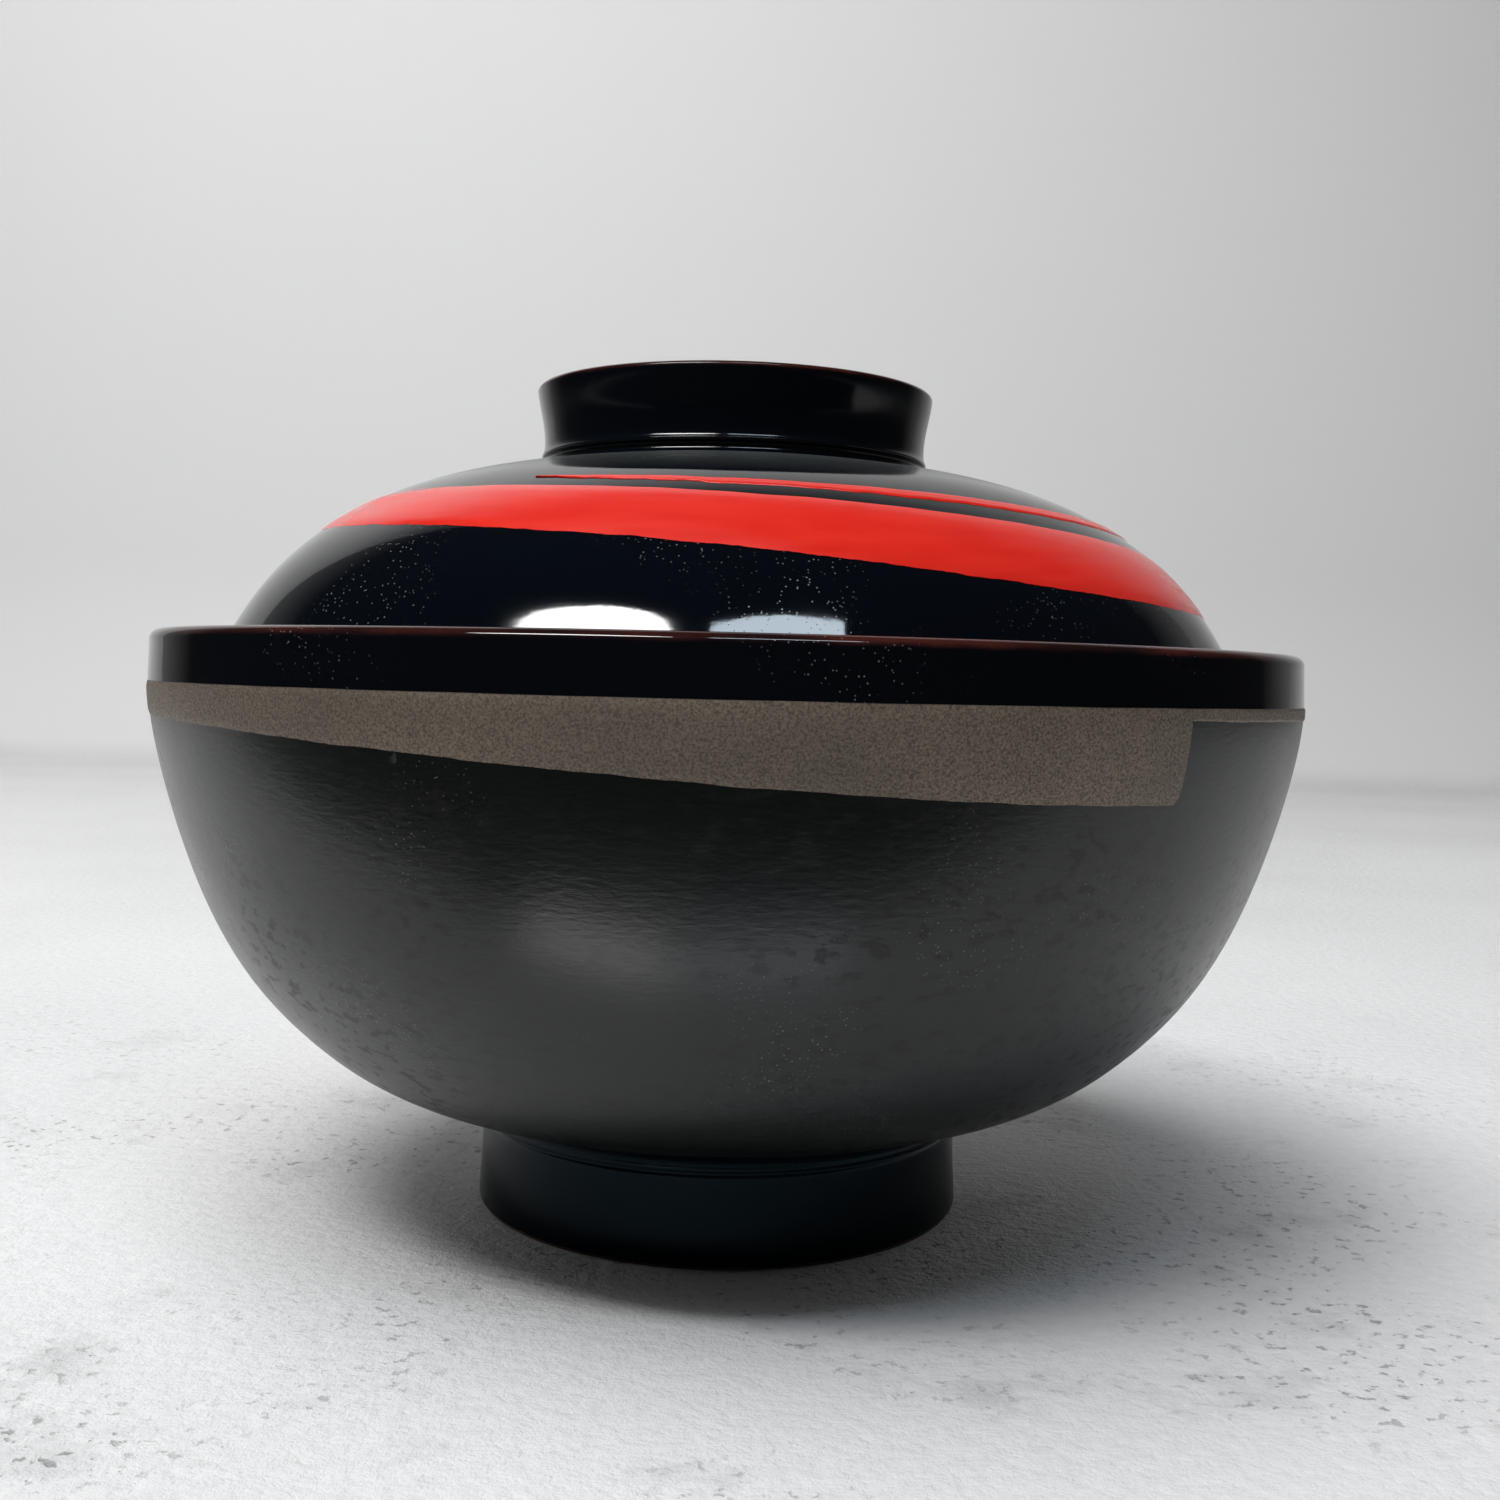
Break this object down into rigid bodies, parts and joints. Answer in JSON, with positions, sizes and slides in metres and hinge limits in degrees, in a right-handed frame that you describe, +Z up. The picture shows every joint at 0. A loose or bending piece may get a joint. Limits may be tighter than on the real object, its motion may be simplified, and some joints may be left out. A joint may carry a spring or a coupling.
{
  "type": "lidded rice bowl",
  "caption": "Round lacquered rice bowl on a foot ring, with a domed lid that sits inside the rim and lifts off by its knob ring.",
  "frame": {"origin": "middle of the foot ring's resting face, on the bowl's turning axis", "axes": "+Z up along the turning axis; +Y away from the side where the strokes are widest, +X to its right"},
  "size_m": [0.1304, 0.1304, 0.0947],
  "materials": {
    "turned_wood": "satin",
    "black_gloss_lacquer": "semi-gloss",
    "black_satin_lacquer": "satin",
    "grey_powder_paint": "matt powder",
    "vermilion_lacquer": "gloss"
  },
  "bodies": {
    "bowl": {"bowl_core": "turned_wood", "bowl_foot_lacquer": "black_gloss_lacquer", "bowl_recess_lacquer": "black_gloss_lacquer", "bowl_belly_lacquer": "black_satin_lacquer", "bowl_rim_lacquer": "black_gloss_lacquer", "bowl_inner_lacquer": "black_gloss_lacquer", "bowl_grey_stroke": "grey_powder_paint"},
    "lid": {"lid_core": "turned_wood", "lid_dome_lacquer": "black_gloss_lacquer", "lid_knob_lacquer": "black_gloss_lacquer", "lid_inner_lacquer": "black_gloss_lacquer", "lid_red_stroke": "vermilion_lacquer"}
  },
  "joints": [
    {"name": "lid_lift", "type": "slide", "parent": "bowl", "child": "lid", "axis": [0, 0, 1], "range_m": [0, 0.08]}
  ]
}
